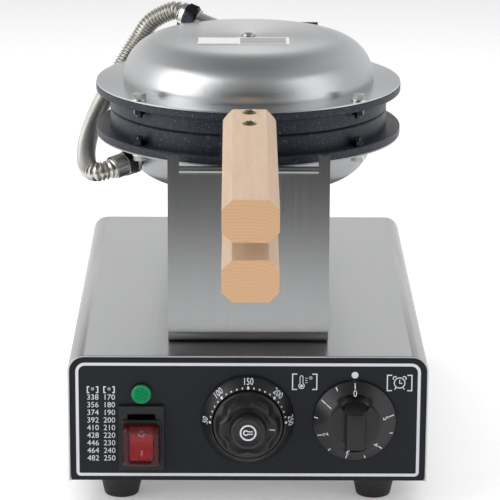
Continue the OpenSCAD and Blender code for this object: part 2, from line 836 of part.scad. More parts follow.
// Arm behind the rear leg that meets a stop pin at either end of the half turn
stop_arm_l = 28;
module stop_arm() color(steel) head() difference() {
  union() {
    rod_y(leg_out + 3, 7, 12);
    translate([0, leg_out + 3, -stop_arm_t / 2]) cube([stop_arm_l, 7, stop_arm_t]);
  }
  rod_y(leg_out, 20, axle_r + 0.02);
}

module axle_nut() color(zinc) head() difference() {
  translate([0, leg_out + 10 + touch, 0]) rotate([-90, 0, 0]) cylinder(r = 12.5, h = 7, $fn = 6);
  rod_y(leg_out, 40, axle_r + 0.02);
}

// Sleeve for the leads, from the axle's bore under the hinge into the lower dome
sleeve_r = 3.5;
sleeve_path = [[0, carrier_y + 4, 0], [0, hinge_y + 19, -1.5], [0, hinge_y + 3, -14],
               [0, flange_r - 2, -25.2], [0, 92, -27.5], [0, 76, -29]];
module lead_sleeve() color(black) head() bent_rod(sleeve_path, sleeve_r);

// Fitting that takes the conduit out of a dome: spigot, collar, hex nut and smooth ferrule
module fitting(exit, direction, seat, collar_r, ferrule_l) {
  translate(exit) aim(direction)
    difference() {
      union() {
        translate([0, 0, -6]) cylinder(r = 5.7, h = 7 + seat);
        translate([0, 0, seat]) cylinder(r = collar_r, h = 3);
        translate([0, 0, seat + 2.5]) cylinder(r = 9.5, h = 7, $fn = 6);
        translate([0, 0, seat + 9]) cylinder(r = conduit_r + 1.2, h = ferrule_l);
      }
      translate([0, 0, -9]) cylinder(r = 4.5, h = 60);
      translate([0, 0, seat + 12]) cylinder(r = conduit_r + 0.2, h = ferrule_l);
    }
}
module lower_fitting() color(zinc) head() fitting(lower_exit, lower_dir, lower_seat, 9, 10);
module upper_fitting() color(zinc) head() fitting(upper_exit, upper_dir, upper_seat, 7, 5);

// Point at t on the curve that leaves p0 towards p1 and reaches p3 from p2
function bezier(p, t) = (1 - t) ^ 3 * p[0] + 3 * t * (1 - t) ^ 2 * p[1] + 3 * t ^ 2 * (1 - t) * p[2]
                        + t ^ 3 * p[3];
function outlet(exit, direction, seat, d) = exit + (seat + d) * direction;

// Flexible conduit from the lower dome, round the head's left side, to the upper dome
low_straight = 27;                          // from each fitting's seat to the conduit's first bend
high_straight = 21;
side_point = [-119, 24, -38];
side_slope = [0, 36, 2];
module jumper_conduit() color(steel) head() {
  low = outlet(lower_exit, lower_dir, lower_seat, low_straight);
  high = outlet(upper_exit, upper_dir, upper_seat, high_straight);
  first = [low, outlet(lower_exit, lower_dir, lower_seat, 42), side_point - side_slope, side_point];
  second = [side_point, side_point + 2 * side_slope, outlet(upper_exit, upper_dir, upper_seat, 48), high];
  steps = 3;
  bent_rod(concat([outlet(lower_exit, lower_dir, lower_seat, 12.5)],
                  [for (i = [0 : steps]) bezier(first, i / steps)],
                  [for (i = [1 : steps]) bezier(second, i / steps)],
                  [outlet(upper_exit, upper_dir, upper_seat, 12.5)]), conduit_r);
}

housing_shell();
front_panel();
base_plate();
back_panel();
feet();
foot_screws();
stand_bracket();
stand_bolts();
bearing_housing();
bearing_bush();
bearing_screws();
stop_pins();
rear_cap();
feed_conduit();
feed_fittings();
switch_bezel();
switch_body();
switch_boot();
pilot_bezel();
pilot_lens();
thermostat_body();
dial_ring();
capillary_tube();
timer_body();
terminal_block();
wiring();
power_inlet();
power_rocker();
thermostat_knob();
thermostat_shaft();
timer_knob();
timer_shaft();
lower_plate();
lower_dome();
lower_element();
lower_insulation();
lower_dome_screw();
lower_flange_bolts();
lower_tang();
lower_handle();
lower_handle_screws();
lower_fitting();
axle_carrier();
carrier_screws();
rotor_axle();
stop_arm();
axle_nut();
hinge_pin();
lead_sleeve();
jumper_conduit();
upper_plate();
upper_dome();
upper_element();
upper_insulation();
upper_dome_screw();
upper_flange_bolts();
upper_tang();
upper_handle();
upper_handle_screws();
upper_fitting();
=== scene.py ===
"""Looks for the rotating waffle cone maker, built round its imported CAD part. Metres, in the CAD's frame."""

import json
import math

import bmesh
import bpy
from mathutils import Matrix, Vector


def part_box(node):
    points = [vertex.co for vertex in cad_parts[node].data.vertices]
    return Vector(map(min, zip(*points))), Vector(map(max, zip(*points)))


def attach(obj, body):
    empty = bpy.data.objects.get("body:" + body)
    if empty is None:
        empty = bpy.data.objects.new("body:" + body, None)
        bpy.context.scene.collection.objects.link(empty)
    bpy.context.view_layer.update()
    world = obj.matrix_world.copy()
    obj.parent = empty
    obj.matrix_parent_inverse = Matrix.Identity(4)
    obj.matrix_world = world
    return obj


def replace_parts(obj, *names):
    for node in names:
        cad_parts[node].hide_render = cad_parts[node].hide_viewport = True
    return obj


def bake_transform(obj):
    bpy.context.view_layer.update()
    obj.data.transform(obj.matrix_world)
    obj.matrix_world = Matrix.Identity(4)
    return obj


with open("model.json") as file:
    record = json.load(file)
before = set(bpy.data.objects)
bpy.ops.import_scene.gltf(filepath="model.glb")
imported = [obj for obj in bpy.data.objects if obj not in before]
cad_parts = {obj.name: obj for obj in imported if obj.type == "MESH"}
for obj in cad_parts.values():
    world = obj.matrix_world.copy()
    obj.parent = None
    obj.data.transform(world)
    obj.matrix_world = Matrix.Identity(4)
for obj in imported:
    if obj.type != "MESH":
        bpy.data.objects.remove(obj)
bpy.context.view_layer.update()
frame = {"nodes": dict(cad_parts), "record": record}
nodes = frame["nodes"]
MM = 0.001


def middle(node):
    low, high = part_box(node)
    return (low + high) / 2


# ---- Places, read from the CAD ----
PANEL_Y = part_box("front_panel")[0].y
BOX_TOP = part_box("housing_shell")[1].z
BOX_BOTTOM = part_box("front_panel")[0].z
DIAL = middle("dial_ring")
TIMER = middle("timer_knob")
LAMP = middle("pilot_bezel")
SWITCH = middle("switch_bezel")
ROCKER = middle("power_rocker")
DOME_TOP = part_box("upper_dome")[1].z
HEAD = Vector((0, middle("upper_dome").y, middle("rotor_axle").z))


# ================================ Materials ================================

def shader(name, colour, rough=0.5, metal=0.0, **inputs):
    """A material with one Principled shader, and that shader's node tree for adding detail."""
    made = bpy.data.materials.new(name)
    made.use_nodes = True
    tree = made.node_tree
    principled = tree.nodes["Principled BSDF"]
    principled.inputs["Base Color"].default_value = (*colour, 1)
    principled.inputs["Roughness"].default_value = rough
    principled.inputs["Metallic"].default_value = metal
    for key, value in inputs.items():
        principled.inputs[key.replace("_", " ")].default_value = value
    return made, tree, principled


def coordinates(tree, scale=(1, 1, 1)):
    """Position in metres, multiplied by scale along each axis."""
    source = tree.nodes.new("ShaderNodeTexCoord")
    mapping = tree.nodes.new("ShaderNodeMapping")
    mapping.inputs["Scale"].default_value = scale
    tree.links.new(source.outputs["Object"], mapping.inputs["Vector"])
    return mapping.outputs["Vector"]


def noise_at(tree, vector, scale=1.0, detail=3.0):
    texture = tree.nodes.new("ShaderNodeTexNoise")
    texture.inputs["Scale"].default_value = scale
    texture.inputs["Detail"].default_value = detail
    tree.links.new(vector, texture.inputs["Vector"])
    return texture.outputs["Fac"]


def remap(tree, value, low, high, to_low, to_high):
    node = tree.nodes.new("ShaderNodeMapRange")
    for key, number in zip(("From Min", "From Max", "To Min", "To Max"), (low, high, to_low, to_high)):
        node.inputs[key].default_value = number
    tree.links.new(value, node.inputs["Value"])
    return node.outputs["Result"]


def mixed(tree, share, first, second):
    """Colour first where share is 0 and second where it is 1; either may be a socket or a colour."""
    node = tree.nodes.new("ShaderNodeMix")
    node.data_type = "RGBA"
    tree.links.new(share, node.inputs["Factor"])
    for key, colour in (("A", first), ("B", second)):
        socket = [s for s in node.inputs if s.name == key and s.type == "RGBA"][0]
        if isinstance(colour, tuple):
            socket.default_value = (*colour, 1)
        else:
            tree.links.new(colour, socket)
    return [s for s in node.outputs if s.type == "RGBA"][0]


def bump(tree, principled, height, strength, distance):
    node = tree.nodes.new("ShaderNodeBump")
    node.inputs["Strength"].default_value = strength
    node.inputs["Distance"].default_value = distance
    tree.links.new(height, node.inputs["Height"])
    tree.links.new(node.outputs["Normal"], principled.inputs["Normal"])


def brushed(name, colour, rough, grain, strength=0.04):
    """Brushed sheet metal. grain is how many streaks there are per metre along each axis."""
    made, tree, principled = shader(name, colour, rough, 1.0)
    streaks = noise_at(tree, coordinates(tree, grain), detail=4)
    broad = noise_at(tree, coordinates(tree, (9, 9, 9)), detail=2)
    tree.links.new(remap(tree, streaks, 0.3, 0.7, rough - 0.02, rough + 0.03), principled.inputs["Roughness"])
    darker = tuple(c * 0.95 for c in colour)
    tree.links.new(mixed(tree, broad, darker, colour), principled.inputs["Base Color"])
    bump(tree, principled, streaks, strength, 0.00001)
    return made


def spun(name, colour, rough, centre_y):
    """Sheet that was spun on a lathe: fine rings round the dome's axis and a stretched highlight."""
    made, tree, principled = shader(name, colour, rough, 1.0, Anisotropic=0.75)
    source = tree.nodes.new("ShaderNodeTexCoord")
    shifted = tree.nodes.new("ShaderNodeMapping")
    shifted.inputs["Location"].default_value = (0, -centre_y, 0)
    tree.links.new(source.outputs["Object"], shifted.inputs["Vector"])
    parts = tree.nodes.new("ShaderNodeSeparateXYZ")
    tree.links.new(shifted.outputs["Vector"], parts.inputs["Vector"])
    flat = tree.nodes.new("ShaderNodeCombineXYZ")
    tree.links.new(parts.outputs["X"], flat.inputs["X"])
    tree.links.new(parts.outputs["Y"], flat.inputs["Y"])
    radius = tree.nodes.new("ShaderNodeVectorMath")
    radius.operation = "LENGTH"
    tree.links.new(flat.outputs["Vector"], radius.inputs[0])
    rings = tree.nodes.new("ShaderNodeCombineXYZ")
    tree.links.new(radius.outputs["Value"], rings.inputs["X"])
    tree.links.new(parts.outputs["Z"], rings.inputs["Y"])
    lines = noise_at(tree, rings.outputs["Vector"], 1500, 3)
    tangent = tree.nodes.new("ShaderNodeTangent")
    tangent.direction_type = "RADIAL"
    tangent.axis = "Z"
    tree.links.new(tangent.outputs["Tangent"], principled.inputs["Tangent"])
    tree.links.new(remap(tree, lines, 0.3, 0.7, rough - 0.02, rough + 0.03), principled.inputs["Roughness"])
    bump(tree, principled, lines, 0.04, 0.00001)
    return made


def grained(name, colour, rough, size, strength=0.25, speck=None, metal=0.0, **inputs):
    """Moulded or cast surface with a fine random grain, and light specks when speck gives their colour."""
    made, tree, principled = shader(name, colour, rough, metal, **inputs)
    grain = noise_at(tree, coordinates(tree), size, 4)
    bump(tree, principled, grain, strength, 0.0002)
    spread = 0.02 if metal else 0.07
    finish = remap(tree, grain, 0.3, 0.7, rough - spread, rough + spread)
    tree.links.new(finish, principled.inputs["Roughness"])
    if speck:
        dots = noise_at(tree, coordinates(tree), size * 0.9, 1)
        share = remap(tree, dots, 0.63, 0.72, 0, 0.75)
        cloudy = noise_at(tree, coordinates(tree), size * 0.25, 2)
        base = mixed(tree, cloudy, tuple(c * 0.7 for c in colour), tuple(c * 1.25 for c in colour))
        tree.links.new(mixed(tree, share, base, speck), principled.inputs["Base Color"])
    return made


def beech():
    """Planed beech: long pale grain with short dark flecks, and warmer end grain with rings."""
    made, tree, principled = shader("beech_wood", (0.62, 0.44, 0.3), 0.5)
    fibres = noise_at(tree, coordinates(tree, (260, 9, 260)), detail=5)
    bands = noise_at(tree, coordinates(tree, (34, 1.6, 34)), detail=2)
    flecks = noise_at(tree, coordinates(tree, (1500, 220, 1500)), detail=1)
    side = mixed(tree, bands, (0.52, 0.37, 0.255), (0.60, 0.455, 0.33))
    share = remap(tree, fibres, 0.35, 0.7, 0, 0.55)
    side = mixed(tree, share, side, (0.47, 0.32, 0.21))
    side = mixed(tree, remap(tree, flecks, 0.62, 0.7, 0, 0.45), side, (0.42, 0.25, 0.15))
    wave = tree.nodes.new("ShaderNodeTexWave")
    wave.wave_type = "RINGS"
    wave.rings_direction = "Y"
    wave.inputs["Scale"].default_value = 150
    wave.inputs["Distortion"].default_value = 5
    wave.inputs["Detail"].default_value = 2
    centre = coordinates(tree)
    centre.node.inputs["Location"].default_value = (0.004, 0, -0.19)
    tree.links.new(centre, wave.inputs["Vector"])
    pores = noise_at(tree, coordinates(tree), 1900, 2)
    end = mixed(tree, wave.outputs["Fac"], (0.62, 0.365, 0.195), (0.66, 0.41, 0.235))
    end = mixed(tree, remap(tree, pores, 0.55, 0.75, 0, 0.5), end, (0.56, 0.31, 0.15))
    facing = tree.nodes.new("ShaderNodeTexCoord")
    parts = tree.nodes.new("ShaderNodeSeparateXYZ")
    tree.links.new(facing.outputs["Normal"], parts.inputs["Vector"])
    is_end = remap(tree, parts.outputs["Y"], -0.8, -0.93, 0, 1)
    tree.links.new(mixed(tree, is_end, side, end), principled.inputs["Base Color"])
    bump(tree, principled, fibres, 0.15, 0.0002)
    return made


def banded(name, light, dark, origin, direction, near, far):
    """Bright steel that is dark where the distance from origin along direction is from near to far."""
    made, tree, principled = shader(name, light, 0.22, 1.0)
    source = tree.nodes.new("ShaderNodeTexCoord")
    offset = tree.nodes.new("ShaderNodeVectorMath")
    offset.operation = "SUBTRACT"
    offset.inputs[1].default_value = origin
    tree.links.new(source.outputs["Object"], offset.inputs[0])
    along = tree.nodes.new("ShaderNodeVectorMath")
    along.operation = "DOT_PRODUCT"
    along.inputs[1].default_value = Vector(direction).normalized()
    tree.links.new(offset.outputs["Vector"], along.inputs[0])
    band = tree.nodes.new("ShaderNodeMath")
    band.operation = "COMPARE"
    band.inputs[1].default_value = (near + far) / 2
    band.inputs[2].default_value = (far - near) / 2
    tree.links.new(along.outputs["Value"], band.inputs[0])
    tree.links.new(mixed(tree, band.outputs["Value"], light, dark), principled.inputs["Base Color"])
    grain = noise_at(tree, coordinates(tree), 2500, 2)
    tree.links.new(remap(tree, grain, 0.3, 0.7, 0.24, 0.3), principled.inputs["Roughness"])
    return made


# Fittings: where each leaves its dome and which way it points, as in the CAD
LOWER_EXIT = HEAD + Vector((-79, -40, -31)) * MM
LOWER_DIR = Vector((-0.81, -0.56, -0.174)).normalized()
UPPER_EXIT = HEAD + Vector((-29.2, 72.3, 45.4)) * MM
UPPER_DIR = Vector((-0.9, 0.3, 0.316)).normalized()

FLANGE_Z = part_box("upper_plate")[1].z - HEAD.z
STEEL = (0.56, 0.565, 0.57)
NUT_DARK = (0.045, 0.05, 0.06)
MOULDED_BLACK = (0.009, 0.0095, 0.011)
BRIGHT = (0.62, 0.62, 0.60)
LOOKS = {
    "stainless_sheet": brushed("stainless_sheet", STEEL, 0.34, (2600, 8, 2600)),
    "stand_bracket": brushed("stand_sheet", (0.365, 0.37, 0.375), 0.22, (2600, 8, 8), 0.06),
    "spun_stainless": spun("spun_stainless", (0.58, 0.59, 0.60), 0.3, HEAD.y),
    # The lower dome is the same spun steel as the upper one; its darker colour is painted shade, the dark
    # reflection of its surroundings.
    "lower_dome": spun("lower_dome", (0.35, 0.36, 0.37), 0.34, HEAD.y),
    "panel_black": grained("panel_black", (0.011, 0.013, 0.017), 0.45, 1400, 0.03,
                           Specular_IOR_Level=0.2),
    "foot_rubber": grained("foot_rubber", (0.012, 0.013, 0.015), 0.62, 700, 0.3),
    "zinc_steel": grained("zinc_steel", (0.62, 0.63, 0.64), 0.2, 500, 0.06, metal=1.0),
    "bright_steel": brushed("bright_steel", (0.6, 0.6, 0.6), 0.28, (5, 500, 500)),
    "bronze": grained("bronze", (0.5, 0.33, 0.15), 0.35, 400, 0.1, metal=1.0),
    "copper": grained("copper", (0.62, 0.3, 0.18), 0.3, 300, 0.08, metal=1.0),
    "conduit_steel": grained("conduit_steel", (0.58, 0.57, 0.53), 0.3, 700, 0.02, metal=1.0),
    "switch_black": grained("switch_black", MOULDED_BLACK, 0.38, 1100, 0.05, Specular_IOR_Level=0.35),
    "pilot_green": grained("pilot_green", (0.0, 0.23, 0.085), 0.3, 300, 0.05, Specular_IOR_Level=0.3),
    "rocker_red": grained("rocker_red", (0.42, 0.004, 0.008), 0.3, 500, 0.05, Coat_Weight=0.4),
    "knob_black": grained("knob_black", MOULDED_BLACK, 0.36, 1500, 0.08, Specular_IOR_Level=0.4),
    "timer_black": grained("timer_black", MOULDED_BLACK, 0.33, 2200, 0.12, Specular_IOR_Level=0.45),
    "cast_iron_coated": grained("cast_iron_coated", (0.012, 0.016, 0.025), 0.42, 1100, 0.5,
                                speck=(0.12, 0.145, 0.19), Specular_IOR_Level=0.35),
    "element_sheath": grained("element_sheath", (0.2, 0.18, 0.16), 0.5, 400, 0.2, metal=1.0),
    "ceramic_fibre": grained("ceramic_fibre", (0.8, 0.79, 0.74), 0.95, 300, 0.8),
    "terminal_white": grained("terminal_white", (0.78, 0.77, 0.72), 0.45, 500, 0.1),
    "wire_red": grained("wire_red", (0.4, 0.03, 0.025), 0.45, 500, 0.1),
    "sleeve_black": grained("sleeve_black", (0.015, 0.015, 0.017), 0.7, 900, 0.6),
    "beech_wood": beech(),
    # The screws' cross recesses are dark plus signs: painted shade, not the colour of their metal.
    "recess_dark": grained("recess_dark", (0.03, 0.025, 0.02), 0.6, 900, 0.1),
    "brass_screws": grained("brass_screws", (0.26, 0.2, 0.11), 0.32, 500, 0.1, metal=1.0),
    "print_white": shader("print_white", (0.66, 0.68, 0.71), 0.5)[0],
    "label_silver": grained("label_silver", (0.66, 0.66, 0.65), 0.45, 400, 0.05),
    "label_grey": grained("label_grey", (0.3, 0.3, 0.28), 0.45, 400, 0.05),
    "lower_fitting": banded("lower_fitting", BRIGHT, NUT_DARK, LOWER_EXIT, LOWER_DIR, 0.0052, 0.0118),
    "upper_fitting": banded("upper_fitting", BRIGHT, NUT_DARK, UPPER_EXIT, UPPER_DIR, 0.0094, 0.0194),
    "upper_flange_bolts": banded("upper_flange_bolts", BRIGHT, NUT_DARK, HEAD, (0, 0, 1), 0, FLANGE_Z),
    "lower_flange_bolts": banded("lower_flange_bolts", BRIGHT, NUT_DARK, HEAD, (0, 0, -1), 0, FLANGE_Z),
    "feed_fittings": grained("feed_fittings", (0.5, 0.5, 0.5), 0.3, 500, 0.1, metal=1.0),
    "clear_boot": shader("clear_boot", (0.055, 0.002, 0.004), 0.3, Alpha=0.74)[0],
    "boot_window": shader("boot_window", (0.3, 0.01, 0.015), 0.12, Alpha=0.22)[0],
}


def dress(thing, look):
    """Gives every face of a mesh one material."""
    thing.data.materials.clear()
    thing.data.materials.append(LOOKS[look])


for row in frame["record"]["subparts"]:
    own = row["node"] if row["node"] in LOOKS else row["material_slot"]
    dress(nodes[row["node"]], own)


# ================================ Shape helpers ================================

SHARP = math.radians(32)                         # edges that turn by more than this are hard ones


def mesh_piece(name, build, look, body, smooth=True):
    """Makes a named piece from a function that fills a bmesh, and fixes it to a body."""
    data = bpy.data.meshes.new(name)
    bm = bmesh.new()
    build(bm)
    bmesh.ops.recalc_face_normals(bm, faces=bm.faces)
    bm.to_mesh(data)
    bm.free()
    if smooth:
        data.polygons.foreach_set("use_smooth", [True] * len(data.polygons))
        data.set_sharp_from_angle(angle=SHARP)
    thing = bpy.data.objects.new(name, data)
    bpy.context.scene.collection.objects.link(thing)
    dress(thing, look)
    if body:
        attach(thing, body)
    return thing


def bevelled(thing, width, segments=2):
    """Rounds the sharp edges of a CAD node."""
    weld = thing.modifiers.new("weld", "WELD")
    weld.merge_threshold = 1e-6
    edge = thing.modifiers.new("edge", "BEVEL")
    edge.width = width
    edge.segments = segments
    edge.limit_method = "ANGLE"
    edge.angle_limit = SHARP
    edge.harden_normals = True


def loft(bm, rings, closed=True, cap_first=True, cap_last=True):
    """Joins rings of points, each with the same number, with quads."""
    made = [[bm.verts.new(p) for p in ring] for ring in rings]
    count = len(made[0])
    for low, high in zip(made, made[1:]):
        for i in range(count if closed else count - 1):
            j = (i + 1) % count
            bm.faces.new((low[i], low[j], high[j], high[i]))
    if cap_first:
        bm.faces.new(list(reversed(made[0])))
    if cap_last:
        bm.faces.new(made[-1])


def front_ring(centre, radius, proud, count=96, reach=lambda a: 1.0):
    """A ring of points in front of the panel; proud is its distance from the panel."""
    return [Vector((centre.x + radius * reach(a) * math.sin(a), PANEL_Y - proud,
                    centre.z + radius * reach(a) * math.cos(a)))
            for a in (2 * math.pi * i / count for i in range(count))]


def rounded_ring(x, z, half_w, half_h, corner, proud, corner_steps):
    """A rounded rectangle of points round x, z, proud of the panel; x and z in metres, the rest in mm."""
    points = []
    for sx, sz, start in ((1, 1, 0), (1, -1, 90), (-1, -1, 180), (-1, 1, 270)):
        for i in range(corner_steps + 1):
            a = math.radians(start + 90 * i / corner_steps)
            points.append(Vector((x + (sx * (half_w - corner) + corner * math.sin(a)) * MM,
                                  PANEL_Y - proud * MM,
                                  z + (sz * (half_h - corner) + corner * math.cos(a)) * MM)))
    return points


def level_at(levels, r):
    """Height at radius r of a turned shape, all in mm; its levels run from the rim inwards."""
    for (r0, h0), (r1, h1) in zip(levels, levels[1:]):
        if r1 <= r <= r0:
            return h0 + (h1 - h0) * (r0 - r) / max(r0 - r1, 1e-6)
    return levels[-1][1] if r < levels[-1][0] else levels[0][1]


def ribbon(bm, points, width, thick, place, closed=False):
    """A flat printed line through 2-D points, put on its surface by place(x, z, height)."""
    count = len(points)
    sides = []
    for i, (x, z) in enumerate(points):
        before = points[i - 1] if i or closed else points[i]
        after = points[(i + 1) % count] if i < count - 1 or closed else points[i]
        ahead = Vector((after[0] - x, after[1] - z))
        behind = Vector((x - before[0], z - before[1]))
        ahead = ahead.normalized() if ahead.length > 1e-9 else behind.normalized()
        behind = behind.normalized() if behind.length > 1e-9 else ahead
        along = (ahead + behind).normalized()
        across = Vector((-along.y, along.x)) * (width / 2 / max(0.5, along.dot(ahead)))
        sides.append([(x + across.x, z + across.y), (x - across.x, z - across.y)])
    rings = [[place(*a, thick), place(*b, thick), place(*b, 0), place(*a, 0)] for a, b in sides]
    if closed:
        rings.append(rings[0])
    loft(bm, rings, cap_first=not closed, cap_last=not closed)


def arc(x, z, radius, start, end, count=24):
    """Points of an arc; angles in degrees, clockwise from the top."""
    return [(x + radius * math.sin(a), z + radius * math.cos(a))
            for a in (math.radians(start + (end - start) * i / count) for i in range(count + 1))]


def circle(x, z, radius, count):
    """Points of a whole circle, for a closed ribbon."""
    return arc(x, z, radius, 0, 360, count)[:-1]


def disc(bm, x, z, radius, thick, place, count=20):
    loft(bm, [[place(*point, up) for point in circle(x, z, radius, count)] for up in (0, thick)])


def digits(bm, text, size, x, z, turn, thick, place):
    """Adds figures as raised print, centred at x, z and turned clockwise by turn degrees."""
    curve = bpy.data.curves.new("figures", "FONT")
    curve.body = text
    curve.size = size
    curve.align_x = "CENTER"
    curve.align_y = "CENTER"
    curve.extrude = 0.5                          # its front lies above zero and its back below
    curve.resolution_u = 3
    holder = bpy.data.objects.new("figures", curve)
    bpy.context.scene.collection.objects.link(holder)
    made = bpy.data.meshes.new_from_object(holder.evaluated_get(bpy.context.evaluated_depsgraph_get()))
    c, s = math.cos(math.radians(turn)), math.sin(math.radians(turn))
    for v in made.vertices:
        u, w, up = v.co
        v.co = place(x + u * c + w * s, z - u * s + w * c, thick if up > 0 else 0)
    bm.from_mesh(made)
    bpy.data.objects.remove(holder)
    bpy.data.meshes.remove(made)
    bpy.data.curves.remove(curve)


INK = 0.12 * MM                                  # thickness of print
SINK = 0.04 * MM                                 # how deep print is rooted in its surface


def on_front(height=lambda x, z: 0.0):
    """Places print on a surface that faces the front and stands height(x, z) proud of the panel."""
    return lambda x, z, up: Vector((x, PANEL_Y - height(x, z) - up + SINK, z))


flat = on_front()


# ================================ Panel print ================================

FRAME_INSET = 6.4 * MM                           # of the printed frame, from the sides and top of the box
FRAME_LOW_INSET = 4.2 * MM
FRAME_TOP_R = 5.5 * MM
FRAME_LOW_R = 2 * MM
FRAME_LINE = 2.1 * MM
FAHRENHEIT = [338 + 18 * i for i in range(9)]
CELSIUS = [170 + 10 * i for i in range(9)]
COLUMNS = (-0.1078, -0.0964)
TABLE_TOP = BOX_TOP - 0.0306
TABLE_PITCH = 0.0056
FIGURE = 0.0056                                  # height of the figures in the table and on the timer
THIN = 0.4 * MM                                  # widths of drawn lines
MEDIUM = 0.5 * MM
THICK = 0.7 * MM


def frame_line():
    """Outline of the printed frame: rounded upper corners, nearly square lower ones."""
    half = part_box("housing_shell")[1].x - FRAME_INSET
    top_x, top_z = half - FRAME_TOP_R, BOX_TOP - FRAME_INSET - FRAME_TOP_R
    low_x, low_z = half - FRAME_LOW_R, BOX_BOTTOM + FRAME_LOW_INSET + FRAME_LOW_R
    return (arc(top_x, top_z, FRAME_TOP_R, 0, 90, 8) + arc(low_x, low_z, FRAME_LOW_R, 90, 180, 4)
            + arc(-low_x, low_z, FRAME_LOW_R, 180, 270, 4) + arc(-top_x, top_z, FRAME_TOP_R, 270, 360, 8))


def bracket(bm, x, z, half_w, half_h):
    """A pair of square brackets round x, z."""
    for side in (-1, 1):
        edge = x + side * half_w
        lip = edge - side * min(3.2 * MM, half_w * 0.38)
        ribbon(bm, [(lip, z + half_h), (edge, z + half_h), (edge, z - half_h), (lip, z - half_h)],
               0.8 * MM, INK, flat)


def temperature_table(bm):
    """Two columns of figures, each headed by a degree ring in brackets."""
    for i, pair in enumerate(zip(FAHRENHEIT, CELSIUS)):
        for x, number in zip(COLUMNS, pair):
            digits(bm, str(number), FIGURE, x, TABLE_TOP - TABLE_PITCH * i, 0, INK, flat)
    head_z = TABLE_TOP + TABLE_PITCH
    for x in COLUMNS:
        bracket(bm, x, head_z, 3.6 * MM, 2.1 * MM)
        ribbon(bm, circle(x, head_z + 0.6 * MM, 0.8 * MM, 14), THIN, INK, flat, closed=True)


def thermometer(bm, x, z):
    """A thermometer with three marks and a degree ring, in brackets."""
    bracket(bm, x, z, 8.4 * MM, 5.6 * MM)
    tube_x, bulb_z, tube_top = x - 2.2 * MM, z - 3 * MM, z + 3.4 * MM
    ribbon(bm, arc(tube_x, bulb_z, 1.9 * MM, 32, 328, 20), 0.6 * MM, INK, flat)
    for side in (-1, 1):
        wall_x = tube_x + side * 1 * MM
        ribbon(bm, [(wall_x, z - 1.5 * MM), (wall_x, tube_top)], MEDIUM, INK, flat)
    ribbon(bm, arc(tube_x, tube_top, 1 * MM, -90, 90, 8), MEDIUM, INK, flat)
    disc(bm, tube_x, bulb_z, 1 * MM, INK, flat)
    for i in range(3):
        mark_z = z + (2.6 - i * 1.6) * MM
        ribbon(bm, [(x + 0.4 * MM, mark_z), (x + 2 * MM, mark_z)], THIN, INK, flat)
    ribbon(bm, circle(x + 4.2 * MM, z + 2.8 * MM, 0.9 * MM, 14), THIN, INK, flat, closed=True)


def alarm_clock(bm, x, z):
    """An alarm clock with two bells and two feet, in brackets."""
    bracket(bm, x, z, 8.5 * MM, 5.6 * MM)
    ribbon(bm, circle(x, z, 3.7 * MM, 32), THICK, INK, flat, closed=True)
    ribbon(bm, [(x, z + 2.3 * MM), (x, z - 0.3 * MM), (x + 1.9 * MM, z - 0.3 * MM)], 0.6 * MM, INK, flat)
    for side in (-1, 1):
        bell = arc(x + side * 3.2 * MM, z + 3.4 * MM, 1.3 * MM, side * 45 - 95, side * 45 + 95, 8)
        ribbon(bm, bell, THICK, INK, flat)
        foot = [(x + side * 2.3 * MM, z - 3.2 * MM), (x + side * 3.4 * MM, z - 4.8 * MM)]
        ribbon(bm, foot, THICK, INK, flat)


def panel_print(bm):
    ribbon(bm, frame_line(), FRAME_LINE, INK, flat, closed=True)
    temperature_table(bm)
    disc(bm, TIMER.x, BOX_TOP - 0.0139, 2.4 * MM, INK, flat, 32)
    thermometer(bm, 0.0392, BOX_TOP - 0.0188)
    alarm_clock(bm, 0.105, BOX_TOP - 0.0195)


mesh_piece("panel_print", panel_print, "print_white", "base", smooth=False)

# ================================ Thermostat ================================

RING_PROFILE = [(32.3, 0.05), (32.3, 1.2), (32.1, 2.2), (31.7, 3.0), (26.3, 10.2), (25.7, 10.8), (25.2, 10.9),
                (24.9, 10.6), (24.8, 9.0), (24.8, 0.05)]


def ring_height(x, z):
    """How far the dial ring's outer slope stands proud of the panel at a point."""
    return level_at(RING_PROFILE[:7], math.hypot(x - DIAL.x, z - DIAL.z) / MM) * MM


def dial_ring(bm):
    loft(bm, [front_ring(DIAL, r * MM, h * MM) for r, h in RING_PROFILE + RING_PROFILE[:1]],
         cap_first=False, cap_last=False)
    bmesh.ops.remove_doubles(bm, verts=bm.verts, dist=1e-7)


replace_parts(mesh_piece("dial_ring_face", dial_ring, "knob_black", "base"), "dial_ring")

DIAL_END = 87                                    # degrees from the top to either end of the scale
DIAL_NUMBERS = {50: -DIAL_END, 100: -44.5, 150: 0, 200: 44.5, 250: DIAL_END}
DIAL_NUMBER_R = 29.5 * MM
DIAL_DOT_R = 26.4 * MM
DIAL_STEPS = 20


def dial_print(bm):
    """Numbers round the ring and a row of dots inside them, larger at the numbers."""
    on_ring = on_front(ring_height)
    for value, angle in DIAL_NUMBERS.items():
        a = math.radians(angle)
        digits(bm, str(value), 0.005, DIAL.x + DIAL_NUMBER_R * math.sin(a),
               DIAL.z + DIAL_NUMBER_R * math.cos(a), angle, INK * 2, on_ring)
    for i in range(DIAL_STEPS + 1):
        a = math.radians(DIAL_END * (2 * i / DIAL_STEPS - 1))
        size = 0.85 * MM if i % 5 == 0 else 0.5 * MM
        disc(bm, DIAL.x + DIAL_DOT_R * math.sin(a), DIAL.z + DIAL_DOT_R * math.cos(a), size,
             INK * 2, on_ring, 14)


mesh_piece("dial_print", dial_print, "print_white", "base", smooth=False)

